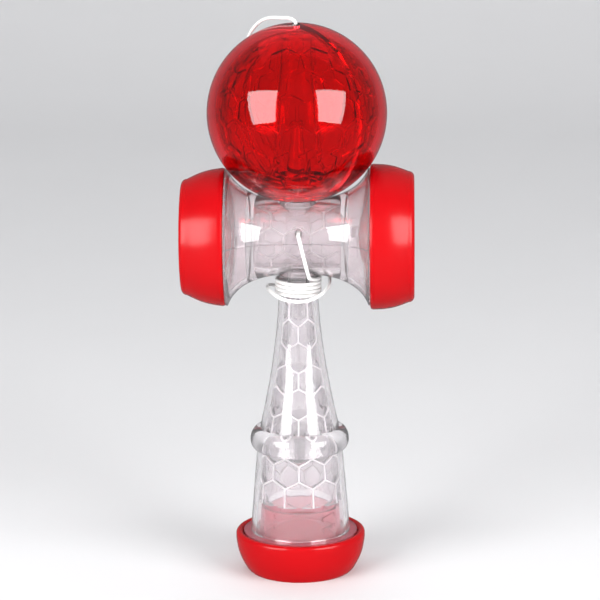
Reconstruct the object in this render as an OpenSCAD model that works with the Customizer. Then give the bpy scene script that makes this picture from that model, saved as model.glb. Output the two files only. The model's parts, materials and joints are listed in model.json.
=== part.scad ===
// Clear plastic kendama: a hollow handle with a net-patterned core, a saddle-shaped crosspiece
// with a soft cup at each end, a soft base cup, a ball on the spike and the cord that ties them.
// Millimetres. Z is up, the base stands on Z = 0, the big cup points along +X, the front is -Y.

/* [Ball] */
// Outside diameter of the ball
ball_d = 60; // [58:0.5:62]
// Width of a net cell in the ball
ball_cell_w = 10.4; // [9.5:0.1:12]
// Wall of the ball's two halves
ball_wall = 2.8; // [2:0.1:3.5]
// Diameter of the ball's mouth, where the spike goes in
mouth_d = 22; // [20:0.5:24]
// Inside diameter of the ball's bore at the foot of its funnel
bore_foot_d = 13.2; // [12:0.1:14]
// Inside diameter of the ball's bore at its top
bore_top_d = 8.8; // [8:0.1:9.5]
// Wall of the bore tube
bore_wall = 1.5; // [1:0.1:2]
// Wall of the ball's core over its ribs
ball_core_wall = 2; // [1.6:0.1:2.4]
// Width of the ribs between the ball's cells
ball_rib_w = 1.2; // [0.8:0.1:1.6]
// Height of the bore's funnel
funnel_h = 11; // [8:0.5:13]
// Diameter of the string holes
string_hole_d = 2.4; // [2:0.1:3]
// Turn of the ball's seam from the front
seam_turn = 47; // [0:1:90]

/* [Spike] */
// Length of the spike above its collar
spike_h = 25; // [20:0.5:28]
// Diameter of the spike at its foot
spike_foot_d = 10; // [8:0.2:11]
// Diameter of the spike's rounded tip
spike_tip_d = 4; // [3:0.2:5]
// Diameter of the spike's collar
spike_collar_d = 12.6; // [11.5:0.2:14]
// Height of the spike's collar
spike_collar_h = 1.4; // [1:0.1:2]
// Diameter of the spike's stem inside the handle
stem_d = 4.8; // [4:0.1:5]
// Diameter of the spike's stem inside the crosspiece
trunk_d = 8.4; // [7:0.1:9]

/* [Crosspiece] */
// Height of the crosspiece's axis above the floor
axis_z = 116; // [112:0.5:120]
// Diameter of the crosspiece at its waist
waist_d = 25; // [24:0.5:26]
// Rise of the flare's full curve above the waist
flare_rise = 17; // [16:0.5:18]
// Length from the middle at which the flare would stand upright
flare_reach = 24.5; // [24.2:0.1:25]
// Length of the flare from the middle
flare_len = 23.6; // [23:0.1:24]
// Wall of the crosspiece
cross_wall = 1.8; // [1.4:0.1:2]
// Half length of the middle chamber
chamber_half = 15; // [14:0.2:16]
// Thickness of the chamber's two end walls
partition_t = 1.6; // [1.2:0.1:2]
// Length of the tongues that the cups hold
tongue_len = 6; // [4:0.5:7]
// Wall of the tongues
tongue_wall = 1.4; // [1:0.1:1.6]
// Diameter of the flat seat under the spike's collar
boss_d = 14; // [13:0.5:15]
// Height of the string hole above the crosspiece's axis
string_hole_rise = 3.6; // [3:0.1:5]

/* [Cups] */
// Distance from the middle to the cups' inner edge
cup_start = 24.2; // [24:0.1:25]
// Length of the big and the small cup
cup_len = 14.8; // [13:0.1:16]
// Diameter of the big cup at its inner edge
big_edge_d = 48.8; // [48:0.1:50]
// Outside diameter of the big cup's rim
big_rim_d = 44; // [43:0.5:45]
// Diameter of the big cup's mouth
big_mouth_d = 36; // [35:0.5:37]
// Depth of the big cup's dish
big_depth = 15.5; // [14:0.5:16.5]
// Diameter of the small cup at its inner edge
small_edge_d = 46.4; // [45.5:0.5:47]
// Outside diameter of the small cup's rim
small_rim_d = 39; // [38:0.5:40]
// Diameter of the small cup's mouth
small_mouth_d = 32; // [31:0.5:33]
// Depth of the small cup's dish
small_depth = 13.5; // [12:0.5:14.5]
// Wall of the cups' dishes
dish_wall = 2.2; // [1.8:0.1:2.5]
// Thickness of the cups' skirts
skirt_t = 1.5; // [1.2:0.1:1.8]
// How far the cups' sides bulge
cup_bulge = 0.7; // [0:0.1:1]
// Rounding of the soft cups' edges
soft_round = 1; // [0.5:0.1:1.2]

/* [Handle] */
// Diameter of the handle's neck
neck_d = 13.2; // [12.6:0.1:14]
// Diameter of the handle where it meets the ring
taper_foot_d = 26.8; // [26:0.2:28]
// Largest diameter of the ring
ring_d = 33.4; // [32:0.2:35]
// Height of the ring's middle above the floor
ring_z = 46.4; // [45:0.2:48]
// Height of the ring
ring_h = 7.8; // [7:0.2:9]
// Diameter of the barrel under the ring
barrel_top_d = 29; // [28:0.2:30]
// Diameter of the barrel at its foot
barrel_foot_d = 33.8; // [33:0.2:35]
// Wall of the handle
handle_wall = 1.8; // [1.4:0.1:2]
// Height of the neck's straight part
neck_h = 5; // [4:0.2:6]
// Thickness of the handle's top under the seat
neck_top_t = 6; // [5:0.2:7]
// Diameter of the spigot that enters the crosspiece
spigot_d = 10.8; // [10:0.1:11.4]
// Height of the spigot
spigot_h = 4.2; // [3:0.1:5]

/* [Core] */
// Wall of the handle's core over its ribs
core_wall = 1.5; // [1.2:0.05:1.6]
// Width of a net cell
cell_w = 9; // [8:0.2:11]
// Width of the ribs between the cells
rib_w = 1; // [0.6:0.05:1.2]
// Least depth of a cell
cell_depth = 0.15; // [0.1:0.01:0.25]
// Height of the core's lower edge above the floor
core_foot_z = 25; // [24.6:0.1:26]
// Height of the core's web above the floor
web_z = 40.6; // [39:0.1:41.5]
// Thickness of the core's web
web_t = 2; // [1.5:0.1:2.5]
// Diameter of the tie screw's head
screw_head_d = 4.8; // [4.4:0.1:5.6]
// Height of the tie screw's head
screw_head_h = 1.2; // [1:0.1:1.8]
// Diameter of the tie screw
screw_d = 2.8; // [2.4:0.1:3]
// Length of the tie screw under its head
screw_len = 10; // [8:0.5:12]

/* [Base] */
// Diameter of the ring that the base cup stands on
base_foot_d = 37; // [36:0.5:38]
// Largest diameter of the base cup
base_max_d = 44; // [43:0.5:45]
// Height of the base cup's largest diameter
base_max_z = 11.2; // [10.5:0.1:12]
// Height of the base cup
base_h = 13.8; // [13.2:0.1:15]
// Diameter of the base cup's mouth
base_mouth_d = 30; // [29:0.5:31]
// Depth of the base cup's dish
base_depth = 14.6; // [14:0.1:15.2]
// Width of the base cup's lip
lip_w = 2.5; // [1.6:0.1:2.8]
// Thickness of the clear plug's flange
flange_t = 2; // [1.6:0.1:2.2]
// Height of the clear plug's collar above its flange
collar_h = 9; // [8:0.2:9.6]
// Wall of the clear plug's collar
collar_wall = 1.3; // [1:0.1:1.4]
// How far the collar's ridges stand out
ridge_h = 0.9; // [0.6:0.05:1]
// Length of a ridge
ridge_len = 5; // [4:0.2:7]
// Thickness of a ridge
ridge_t = 1.6; // [1.2:0.1:2]
// Slope of the ridges
ridge_slope = 14; // [0:1:20]

/* [Cord] */
// Diameter of the cord
cord_d = 1.2; // [1:0.05:1.3]
// Rise of one turn of the winding
wind_pitch = 1.7; // [1.65:0.01:1.8]
// Diameter of the bead in the ball
bead_d = 5.2; // [4.6:0.1:5.6]
// Diameter of the knot in the crosspiece
knot_d = 3.4; // [3:0.1:3.6]

/* [Clearances] */
// Gap between the resting ball and the flares that carry it
seat_gap = 0.35; // [0.3:0.05:0.6]
// Gap between pieces that slide together
slip = 0.2; // [0.1:0.05:0.25]
// Gap between the two halves of a moulding
seam_gap = 0.1; // [0.05:0.01:0.2]
// Gap between the bead and the ball's top
bead_gap = 0.3; // [0.3:0.05:0.5]
// Gap between the cord's stretch on the handle and its stretch on the ball
join_gap = 0.3; // [0.3:0.05:0.5]

/* [Hidden] */
$fn = 96;
// Overrun of every cut
over = 1;
tiny = 0.01;
// Steps of the curved outlines
arc_steps = 14;
taper_steps = 12;
flare_steps = 16;
// Sharpness of the crosspiece's flare and of the handle's taper
flare_power_share = 2.5;
taper_power_share = 1.65;

ball_r = ball_d / 2;
ball_in_r = ball_r - ball_wall;
mouth_r = mouth_d / 2;
bore_foot_r = bore_foot_d / 2;
bore_top_r = bore_top_d / 2;
string_hole_r = string_hole_d / 2;
cord_r = cord_d / 2;
neck_r = neck_d / 2;
waist_r = waist_d / 2;
stem_r = stem_d / 2;
trunk_r = trunk_d / 2;
boss_r = boss_d / 2;
spigot_r = spigot_d / 2;
big_edge_r = big_edge_d / 2;
small_edge_r = small_edge_d / 2;

cup_end = cup_start + cup_len;

// Radius of the crosspiece at a distance from its middle, and its inner wall along the normal
function flare_r(x) = waist_r + flare_rise
    * (1 - pow(1 - pow(x / flare_reach, flare_power_share), 1 / flare_power_share));
function flare_lean(x) = atan2(flare_r(x + tiny) - flare_r(x), tiny);
function flare_in(x) = [flare_r(x) - cross_wall * cos(flare_lean(x)), x + cross_wall * sin(flare_lean(x))];
function flare_steps_x(a, b) = [for (i = [0 : flare_steps]) blend_at(a, b, sin(90 * i / flare_steps))];

// The ball rests on the two flares, wherever they first meet it.
function ball_lift(x) = flare_r(x) + sqrt(pow(ball_r + seat_gap, 2) - x * x);
ball_z = axis_z + max([for (x = flare_steps_x(mouth_r, flare_len)) ball_lift(x)]);

// Heights along the handle
seat_z = axis_z - flare_r(neck_r) - slip / 2;
boss_z = axis_z + flare_r(boss_r) + slip / 2;
neck_foot_z = seat_z - neck_h;
ring_top_z = ring_z + ring_h / 2;
ring_foot_z = ring_z - ring_h / 2;
cavity_z = seat_z - neck_top_t;
spigot_z = seat_z + spigot_h;
flange_z = base_h - flange_t;
handle_foot_z = base_h + slip / 2;
core_top_z = cavity_z - slip;
web_top_z = web_z + web_t;

// Half widths of the handle along its height, without the ring
function taper_r(z) = neck_r + (taper_foot_d / 2 - neck_r)
    * pow((neck_foot_z - z) / (neck_foot_z - ring_top_z), taper_power_share);
function blend_at(a, b, t) = a + (b - a) * t;
function barrel_r(z) = blend_at(barrel_foot_d, barrel_top_d, (z - base_h) / (ring_foot_z - base_h)) / 2;
function ring_core_r(z) = blend_at(barrel_top_d, taper_foot_d, (z - ring_foot_z) / ring_h) / 2;
function handle_r(z) = z >= neck_foot_z ? neck_r
    : z >= ring_top_z ? taper_r(z)
    : z >= ring_foot_z ? ring_core_r(z) : barrel_r(z);
function handle_in_r(z) = handle_r(z) - handle_wall;
function core_r(z) = handle_in_r(z) - slip;

// Points of an arc round a centre, and of a shallow bulge or a full round between two points
function arc_points(c, r, a, b) =
    [for (i = [0 : arc_steps]) let (t = blend_at(a, b, i / arc_steps)) c + r * [cos(t), sin(t)]];
function bulge_points(p, q, rise) = let (d = q - p, n = [d[1], -d[0]] / norm(d))
    [for (i = [0 : arc_steps]) let (t = i / arc_steps) p + d * t + n * rise * sin(180 * t)];
function round_points(p, q, rise) = let (d = q - p, n = [d[1], -d[0]] / norm(d))
    [for (i = [0 : arc_steps]) let (t = 180 * i / arc_steps) p + d * (1 - cos(t)) / 2 + n * rise * sin(t)];

// A dish of a given mouth radius and depth: its sphere's radius
function dish_r(mouth, depth) = (mouth * mouth + depth * depth) / (2 * depth);

// Net cells: hexagons of one side length, in rows that pack
cell_side = cell_w / sqrt(3);
row_step = cell_side * 3 / 2;
core_rows = floor((core_top_z - core_foot_z) / row_step);

// Crosspiece core
cross_core_r = waist_r - cross_wall - slip;
cross_core_half = chamber_half - slip;

// Bore tube in the ball's own frame
bore_top_z = sqrt(ball_in_r * ball_in_r - pow(bore_top_r + bore_wall, 2)) - slip;
mouth_z = -sqrt(ball_r * ball_r - mouth_r * mouth_r);
funnel_z = mouth_z + funnel_h;
bore_roof_z = bore_top_z - bore_wall;

// Bead and knot, each with a flat that the cord meets
bead_r = bead_d / 2;
bead_flat_share = 0.85;
bead_flat = bead_r * bead_flat_share;
bead_z = ball_z + bore_roof_z - bead_gap - bead_flat;
knot_r = knot_d / 2;
knot_flat_share = 0.85;
knot_flat = knot_r * knot_flat_share;
string_z = axis_z + string_hole_rise;
string_x = 0.5;
knot_y = knot_r + slip - sqrt(pow(cross_core_r - core_wall, 2) - string_hole_rise * string_hole_rise);

// The winding runs down the neck from the front right to the back.
wind_r = neck_r + cord_r + slip / 2;
wind_start_turn = -35;
wind_end_turn = 1170;
wind_top_z = 102.2;
wind_drop = wind_pitch * (wind_end_turn - wind_start_turn) / 360;
wind_rings = 24;
wind_sides = 6;
cord_sides = 8;
cord_fill = 2;

// Routes of the cord's free stretches, chosen by hand
tail_points = [
    [0.5, -13.4, 119.6], [0.7, -14, 118.6], [1.2, -14.4, 116.5], [1.9, -14.4, 113.5], [2.6, -13.9, 110.5],
    [3.2, -12.7, 107.6], [3.7, -10.9, 105.2], [4, -8.6, 103.6]
];
rise_points = [
    [-3.6, 7.9, 96.7], [-6.6, 7.2, 97.4], [-9, 4.9, 98.3], [-10.2, 1.4, 99], [-10, -2.4, 98.8],
    [-8.2, -6, 97.8], [-5.2, -8.8, 96.7], [-1.4, -10.2, 96.1], [2.6, -10, 96.2], [6.2, -8.2, 97],
    [9, -5, 98.4], [10.4, -1, 100], [10.4, 3.2, 101.4], [9.4, 7.4, 102.8], [7.6, 11.4, 104.6],
    [5.4, 15, 107.4], [2.8, 18.2, 111.4], [0, 20.8, 116.4], [-3, 23.2, 122], [-6, 25.4, 128.4],
    [-9, 27.4, 135.4], [-12, 29, 142.8], [-15, 29.8, 150.6], [-17, 29.6, 158]
];
top_points = [
    [-17.9, 28.4, 165], [-18.2, 25.8, 171.2], [-17.8, 22.4, 176.6], [-16.6, 18.6, 180.8],
    [-14.8, 14.8, 184.2], [-12.4, 11.2, 187], [-9.6, 7.8, 188.7], [-6.9, 5, 189.3], [-4.6, 2.9, 189.5],
    [-2.7, 1.5, 189.7],
    [-1.2, 0.6, 189.35], [-0.3, 0.12, 188.5], [0, 0, 187.2], [0, 0, 185.2]
];

clear_tint = [0.93, 0.91, 0.94, 0.35];
net_tint = [0.97, 0.95, 0.97, 0.5];
soft_red = [0.86, 0.05, 0.08];
glass_red = [0.75, 0.03, 0.05, 0.6];
core_red = [0.82, 0.06, 0.08, 0.6];
cord_white = [0.95, 0.94, 0.92];
screw_grey = [0.3, 0.3, 0.32];

// Turn a profile of [radius, x] about the crosspiece's axis, towards +X or -X.
module about_axis(side = 1) {
    translate([0, 0, axis_z]) mirror([side < 0 ? 1 : 0, 0, 0]) rotate([0, 90, 0]) rotate_extrude() children();
}

// A smooth curve through hand-chosen points
function curve_at(p, i, t) = let (
        n = len(p) - 1,
        a = p[max(i - 1, 0)],
        b = p[i],
        c = p[min(i + 1, n)],
        d = p[min(i + 2, n)]
    )
    0.5 * (2 * b + (c - a) * t + (2 * a - 5 * b + 4 * c - d) * t * t + (3 * b - a - 3 * c + d) * t * t * t);
function curve_points(p, fill) = concat(
    [for (i = [0 : len(p) - 2]) for (k = [0 : fill - 1]) curve_at(p, i, k / fill)], [p[len(p) - 1]]);

// A round tube along points, as one closed polyhedron with frames carried along the path
function unit(v) = v / norm(v);
function tangent(p, i) = unit(p[min(i + 1, len(p) - 1)] - p[max(i - 1, 0)]);
function any_normal(t) = unit(cross(t, abs(t[2]) < abs(t[0]) ? [0, 0, 1] : [1, 0, 0]));
function carried(n, t) = unit(n - (n * t) * t);
function normals(p, i = 0, made = []) = i >= len(p) ? made
    : let (t = tangent(p, i), n = i == 0 ? any_normal(t) : carried(made[i - 1], t))
      normals(p, i + 1, concat(made, [n]));
module tube(p, r, sides) {
    ns = normals(p);
    count = len(p);
    points = [for (i = [0 : count - 1]) let (t = tangent(p, i), n = ns[i], b = cross(t, n))
        for (k = [0 : sides - 1]) p[i] + r * (cos(360 * k / sides) * n + sin(360 * k / sides) * b)];
    walls = [for (i = [0 : count - 2]) for (k = [0 : sides - 1])
        let (a = i * sides + k, b = i * sides + (k + 1) % sides)
        each [[a, a + sides, b], [b, a + sides, b + sides]]];
    first = [for (k = [1 : sides - 2]) [0, k, k + 1]];
    last_ring = (count - 1) * sides;
    last = [for (k = [1 : sides - 2]) [last_ring, last_ring + k + 1, last_ring + k]];
    polyhedron(points, concat(walls, first, last), convexity = 10);
}

// The winding: a helix down the neck, with a straight end of one diameter at each side
function wind_point(a) = [wind_r * cos(a), wind_r * sin(a),
    wind_top_z - wind_drop * (a - wind_start_turn) / (wind_end_turn - wind_start_turn)];
wind_steps = ceil((wind_end_turn - wind_start_turn) / 360 * wind_rings);
wind_helix = [for (i = [0 : wind_steps])
    wind_point(blend_at(wind_start_turn, wind_end_turn, i / wind_steps))];
wind_in = unit(wind_helix[1] - wind_helix[0]);
wind_out = unit(wind_helix[wind_steps] - wind_helix[wind_steps - 1]);
wind_first = wind_helix[0] - wind_in * cord_d;
wind_last = wind_helix[wind_steps] + wind_out * cord_d;
wind_path = concat([wind_first], wind_helix, [wind_last]);
wind_gap = min([for (i = [0 : wind_steps]) for (k = [i + wind_rings / 2 : wind_steps])
    norm(wind_helix[i] - wind_helix[k])]) - cord_d;
echo(winding_least_gap = wind_gap);

// Straight lead-ins make the free stretches meet the winding square
tail_path = concat(curve_points(tail_points, cord_fill), [wind_first - wind_in * cord_d, wind_first]);
rise_path = concat([wind_last, wind_last + wind_out * cord_d], curve_points(rise_points, cord_fill));
rise_end = rise_points[len(rise_points) - 1];
top_start = rise_end + unit(top_points[0] - rise_end) * join_gap;
top_path = concat(curve_points(concat([top_start], top_points), cord_fill), [[0, 0, bead_z + bead_flat]]);
knot_front = [string_x, knot_y - knot_flat, string_z];
tail_full = concat([knot_front], tail_path);

// Length of a path
function path_len(p) = len(p) < 2 ? 0 : [for (i = [1 : len(p) - 1]) norm(p[i] - p[i - 1])]
    * [for (i = [1 : len(p) - 1]) 1];
echo(cord_length = path_len(tail_full) + path_len(wind_path) + path_len(rise_path) + path_len(top_path));

// Hexagonal cell blank, standing on its floor and pointing outwards
module cell(side, wall = core_wall) {
    linear_extrude(height = wall + over) circle(r = side, $fn = 6);
}

// Hexagonal cells round an upright core, in rows that follow its slope
module core_cells() {
    for (i = [0 : core_rows - 1]) {
        z = core_foot_z + row_step * (i + 1 / 2);
        r = core_r(z);
        count = max(5, round(2 * PI * r / cell_w));
        side = min(cell_side, 2 * PI * r / count / sqrt(3)) - rib_w / sqrt(3);
        lean = atan2(core_r(z + tiny) - core_r(z - tiny), 2 * tiny);
        floor_r = r * cos(180 / count * cell_span_share) - cell_depth;
        for (k = [0 : count - 1])
            rotate([0, 0, 360 / count * (k + (i % 2) / 2) - 90])
                translate([max(floor_r, r - core_wall * cell_floor_share), 0, z])
                    rotate([0, 90 - lean, 0])
                        cell(side);
    }
}
// Deepest floor of a cell, as a share of the core's wall, and the share of its step that a cell spans
cell_floor_share = 0.6;
cell_span_share = 0.9;

// Outline of the handle's core at an inset from its outside, from its foot to its top
core_heights = concat(
    [core_foot_z, ring_foot_z, ring_top_z],
    [for (i = [1 : taper_steps]) blend_at(ring_top_z, min(neck_foot_z, core_top_z), i / taper_steps)],
    neck_foot_z < core_top_z ? [core_top_z] : []);
function core_line(inset) = [for (z = core_heights) [core_r(z) - inset, z]];
function reversed(p) = [for (i = [len(p) - 1 : -1 : 0]) p[i]];

module handle() {
    taper = [for (i = [0 : taper_steps]) let (z = blend_at(ring_top_z, neck_foot_z, i / taper_steps))
        [taper_r(z), z]];
    ring = round_points([barrel_top_d / 2, ring_foot_z], [taper_foot_d / 2, ring_top_z],
        ring_d / 2 - (barrel_top_d + taper_foot_d) / 4);
    outside = concat([[barrel_foot_d / 2, handle_foot_z]], ring, [for (i = [1 : taper_steps]) taper[i]],
        [[neck_r, seat_z], [spigot_r, seat_z], [spigot_r, spigot_z]]);
    inside_z = concat(
        [for (i = [taper_steps : -1 : 0]) let (z = blend_at(ring_top_z, neck_foot_z, i / taper_steps))
            if (z < cavity_z) z],
        [ring_foot_z, handle_foot_z]);
    inside = concat([[stem_r + slip, spigot_z], [stem_r + slip, cavity_z], [handle_in_r(cavity_z), cavity_z]],
        [for (z = inside_z) [handle_in_r(z), z]]);
    color(clear_tint) rotate_extrude() polygon(concat(outside, inside));
}

module handle_core() {
    color(net_tint) difference() {
        rotate_extrude() polygon(concat(core_line(0), reversed(core_line(core_wall))));
        core_cells();
    }
    color(net_tint) translate([0, 0, web_z]) difference() {
        cylinder(r = core_r(web_top_z) - core_wall / 2, h = web_t);
        translate([0, 0, -over]) cylinder(r = screw_d / 2 + slip, h = web_t + 2 * over);
    }
}

module tie_screw() {
    color(screw_grey) {
        translate([0, 0, web_z - screw_head_h]) cylinder(d = screw_head_d, h = screw_head_h);
        translate([0, 0, web_z - tiny]) cylinder(d = screw_d, h = screw_len + tiny);
    }
}

module spike() {
    collar_z = boss_z + spike_collar_h;
    tip_r = spike_tip_d / 2;
    tip_z = collar_z + spike_h - tip_r;
    color(clear_tint) difference() {
        rotate_extrude() polygon(concat(
            [[0, web_top_z], [stem_r, web_top_z], [stem_r, spigot_z], [trunk_r, spigot_z], [trunk_r, boss_z],
             [spike_collar_d / 2, boss_z], [spike_collar_d / 2, boss_z + spike_collar_h / 2],
             [spike_foot_d / 2, collar_z]],
            arc_points([0, tip_z], tip_r, 0, 90)));
        translate([0, 0, web_top_z - over]) cylinder(d = screw_d + slip, h = screw_len - web_t + 2 * over);
    }
}

// The crosspiece's wall, turned about its axis: flare, tongue for each cup and chamber end walls
module cross_side(edge_r, rim_r, side) {
    flare = [for (x = flare_steps_x(0, flare_len)) [flare_r(x), x]];
    inner = [for (x = reversed(flare_steps_x(chamber_half + partition_t, flare_len))) let (p = flare_in(x))
        if (p[1] < cup_start) p];
    tongue_out = skirt_in(edge_r, rim_r, cup_start) - slip;
    tongue_end = cup_start + tongue_len;
    tongue_tip = skirt_in(edge_r, rim_r, tongue_end) - slip;
    outer = concat(flare, [
        [flare_r(flare_len), cup_start - slip / 2], [tongue_out, cup_start - slip / 2],
        [tongue_tip, tongue_end], [tongue_tip - tongue_wall, tongue_end],
        [min(tongue_out - tongue_wall, inner[0][0]), cup_start]]);
    chamber_r = waist_r - cross_wall;
    about_axis(side) polygon(concat(outer, inner, [
        [0, chamber_half + partition_t], [0, chamber_half], [chamber_r, chamber_half], [chamber_r, 0]]));
}

module crosspiece_shell() {
    roof_z = axis_z + waist_r - cross_wall;
    difference() {
        union() {
            cross_side(big_edge_r, big_rim_d / 2, 1);
            cross_side(small_edge_r, small_rim_d / 2, -1);
            translate([0, 0, roof_z]) cylinder(r = boss_r, h = boss_z - roof_z);
            translate([0, 0, seat_z]) cylinder(r = neck_r, h = axis_z - waist_r + cross_wall - seat_z);
        }
        translate([0, 0, axis_z]) cylinder(r = trunk_r + slip, h = 2 * waist_r);
        translate([0, 0, seat_z - over]) cylinder(r = spigot_r + slip, h = waist_r);
        translate([string_x, 0, string_z]) rotate([90, 0, 0]) cylinder(r = string_hole_r, h = 2 * waist_r);
    }
}

// Room for one half of the crosspiece, above or below the plane of its axis
module half_room(up) {
    room = 2 * (cup_end + ball_r);
    translate([-room / 2, -room / 2, up ? axis_z + seam_gap / 2 : axis_z - seam_gap / 2 - room]) cube(room);
}

// Snap tabs of the upper half: curved tongues that hang inside the lower half's wall
tab_x = 19.4;
tab_w = 2.4;
tab_h = 3.4;
tab_t = 1.1;
function flare_in_r(x) = let (
        a = x - cross_wall * sin(flare_lean(x)),
        b = x - cross_wall * sin(flare_lean(a))
    )
    flare_in(x - cross_wall * sin(flare_lean(b)))[0];
module tab_ring(side, lift) {
    near = tab_x - tab_w / 2;
    far = tab_x + tab_w / 2;
    about_axis(side) polygon([
        [flare_in_r(near) - slip - tab_t, near], [flare_in_r(near) + lift, near],
        [flare_in_r(far) + lift, far], [flare_in_r(far) - slip - tab_t, far]]);
}
module snap_tabs(side) {
    room = 2 * ball_r;
    intersection() {
        tab_ring(side, -slip);
        translate([-room / 2, -room / 2, axis_z - tab_h]) cube([room, room, 2 * tab_h]);
    }
    intersection() {
        tab_ring(side, cross_wall / 2);
        translate([-room / 2, -room / 2, axis_z + slip]) cube([room, room, tab_h - slip]);
    }
}

module crosspiece_upper() {
    color(clear_tint) {
        intersection() {
            crosspiece_shell();
            half_room(true);
        }
        snap_tabs(1);
        snap_tabs(-1);
    }
}

module crosspiece_lower() {
    color(clear_tint) intersection() {
        crosspiece_shell();
        half_room(false);
    }
}

// Cells round the crosspiece's core, with their points upwards in the front
module cross_cells() {
    count = max(6, 2 * round(PI * cross_core_r / row_step));
    side = 2 * PI * cross_core_r / count / 1.5 - rib_w / sqrt(3);
    pitch = cell_w;
    reach = ceil(cross_core_half / pitch);
    floor_r = cross_core_r - core_wall * cell_floor_share;
    for (i = [0 : count - 1]) for (k = [-reach : reach])
        rotate([360 / count * i, 0, 0])
            translate([pitch * (k + (i % 2) / 2), 0, 0])
                rotate([90, 0, 0])
                    translate([0, 0, floor_r])
                        rotate([0, 0, 30])
                            cell(side);
}

module crosspiece_core() {
    color(net_tint) difference() {
        translate([0, 0, axis_z]) rotate([0, 90, 0]) difference() {
            translate([0, 0, -cross_core_half]) cylinder(r = cross_core_r, h = 2 * cross_core_half);
            translate([0, 0, -cross_core_half - over])
                cylinder(r = cross_core_r - core_wall, h = 2 * (cross_core_half + over));
        }
        translate([0, 0, axis_z]) cross_cells();
        translate([0, 0, axis_z]) cylinder(r = trunk_r + slip, h = 2 * waist_r);
        translate([0, 0, seat_z - over]) cylinder(r = spigot_r + slip, h = waist_r);
        translate([string_x, 0, string_z]) rotate([90, 0, 0]) cylinder(r = string_hole_r, h = 2 * waist_r);
    }
}

// Inner face of a cup's skirt at a distance from the middle
function skirt_in(edge_r, rim_r, x) = blend_at(edge_r, rim_r, (x - cup_start) / cup_len) - skirt_t;

// A soft cup: skirt, rim and dish as one wall
module side_cup(edge_r, rim_r, mouth, depth, side) {
    dish = dish_r(mouth, depth);
    dish_x = cup_end - depth + dish;
    back = dish + dish_wall;
    mouth_turn = asin(mouth / dish);
    void_end = cup_start + tongue_len + slip;
    void_r = skirt_in(edge_r, rim_r, void_end);
    back_r = sqrt(back * back - pow(dish_x - void_end, 2));
    back_turn = atan2(back_r, dish_x - void_end);
    rim_mid = (rim_r + mouth) / 2;
    rim_round = (rim_r - mouth) / 2;
    about_axis(side) polygon(concat(
        [[skirt_in(edge_r, rim_r, cup_start), cup_start]],
        [[edge_r - soft_round, cup_start], [edge_r - soft_round / 4, cup_start + soft_round / 4]],
        bulge_points([edge_r, cup_start + soft_round], [rim_r, cup_end - rim_round], cup_bulge),
        arc_points([rim_mid, cup_end - rim_round], rim_round, 0, 180),
        [for (i = [0 : arc_steps]) let (t = blend_at(mouth_turn, 0, i / arc_steps))
            if (dish_x - dish * cos(t) < cup_end - rim_round) [dish * sin(t), dish_x - dish * cos(t)]],
        [for (i = [0 : arc_steps]) let (t = blend_at(0, back_turn, i / arc_steps))
            [back * sin(t), dish_x - back * cos(t)]],
        [[void_r, void_end]]));
}

module big_cup() {
    color(soft_red) side_cup(big_edge_r, big_rim_d / 2, big_mouth_d / 2, big_depth, 1);
}

module small_cup() {
    color(soft_red) side_cup(small_edge_r, small_rim_d / 2, small_mouth_d / 2, small_depth, -1);
}

// Dish of the base cup, and the dome that its back makes inside the handle
base_mouth_r = base_mouth_d / 2;
base_dish = dish_r(base_mouth_r, base_depth);
base_dome = base_dish + dish_wall;
base_dish_z = base_depth - base_dish;
ledge_r = sqrt(base_dome * base_dome - pow(flange_z - base_dish_z, 2));
lip_in_r = base_max_d / 2 - lip_w;
base_foot_mid = (base_foot_d / 2 + base_mouth_r) / 2;
base_foot_round = (base_foot_d / 2 - base_mouth_r) / 2;

module base_cup() {
    dish_turn = asin(base_mouth_r / base_dish);
    ledge_turn = asin(ledge_r / base_dome);
    lip_round = lip_w / 2;
    color(soft_red) rotate_extrude() polygon(concat(
        [for (i = [0 : arc_steps]) let (t = blend_at(0, dish_turn, i / arc_steps))
            [base_dish * sin(t), base_dish_z + base_dish * cos(t)]],
        [[base_mouth_r + base_foot_round / 2, 0], [base_foot_d / 2 - base_foot_round / 2, 0]],
        bulge_points([base_foot_d / 2, base_foot_round / 2], [base_max_d / 2, base_max_z], cup_bulge),
        arc_points([base_max_d / 2 - lip_round, base_h - lip_round], lip_round, 0, 180),
        [[lip_in_r, flange_z]],
        [for (i = [0 : arc_steps]) let (t = blend_at(ledge_turn, 0, i / arc_steps))
            [base_dome * sin(t), base_dish_z + base_dome * cos(t)]]));
}

// Outside of the plug's collar, set in from the barrel's inner wall by the ridges
function collar_r(z) = handle_in_r(z) - slip - ridge_h;

module base_plug() {
    collar_z = base_h + collar_h;
    dome_room = base_dome + slip;
    plug_foot_z = flange_z + slip / 2;
    hole_r = sqrt(dome_room * dome_room - pow(plug_foot_z - base_dish_z, 2));
    color(clear_tint) difference() {
        union() {
            rotate_extrude() polygon([
                [hole_r, plug_foot_z], [lip_in_r - slip, plug_foot_z], [lip_in_r - slip, base_h],
                [collar_r(base_h), base_h],
                [collar_r(collar_z), collar_z], [collar_r(collar_z) - collar_wall, collar_z],
                [collar_r(base_h) - collar_wall, base_h]]);
            for (k = [0 : ridge_count - 1]) for (row = ridge_row_shares)
                rotate([0, 0, ridge_first + 360 / ridge_count * k]) {
                    z = base_h + collar_h * row;
                    translate([collar_r(z) - collar_wall / 2, -ridge_len / 2, z - ridge_t / 2])
                        rotate([ridge_slope, 0, 0])
                            cube([ridge_reach(z), ridge_len, ridge_t]);
                }
        }
        translate([0, 0, base_dish_z]) sphere(r = dome_room);
    }
}
ridge_count = 4;
ridge_first = 225;
ridge_row_shares = [0.3, 0.72];
function ridge_reach(z) = sqrt(pow(collar_r(z + ridge_t) + ridge_h, 2) - pow(ridge_len / 2, 2))
    - collar_r(z) + collar_wall / 2 - slip;

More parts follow.
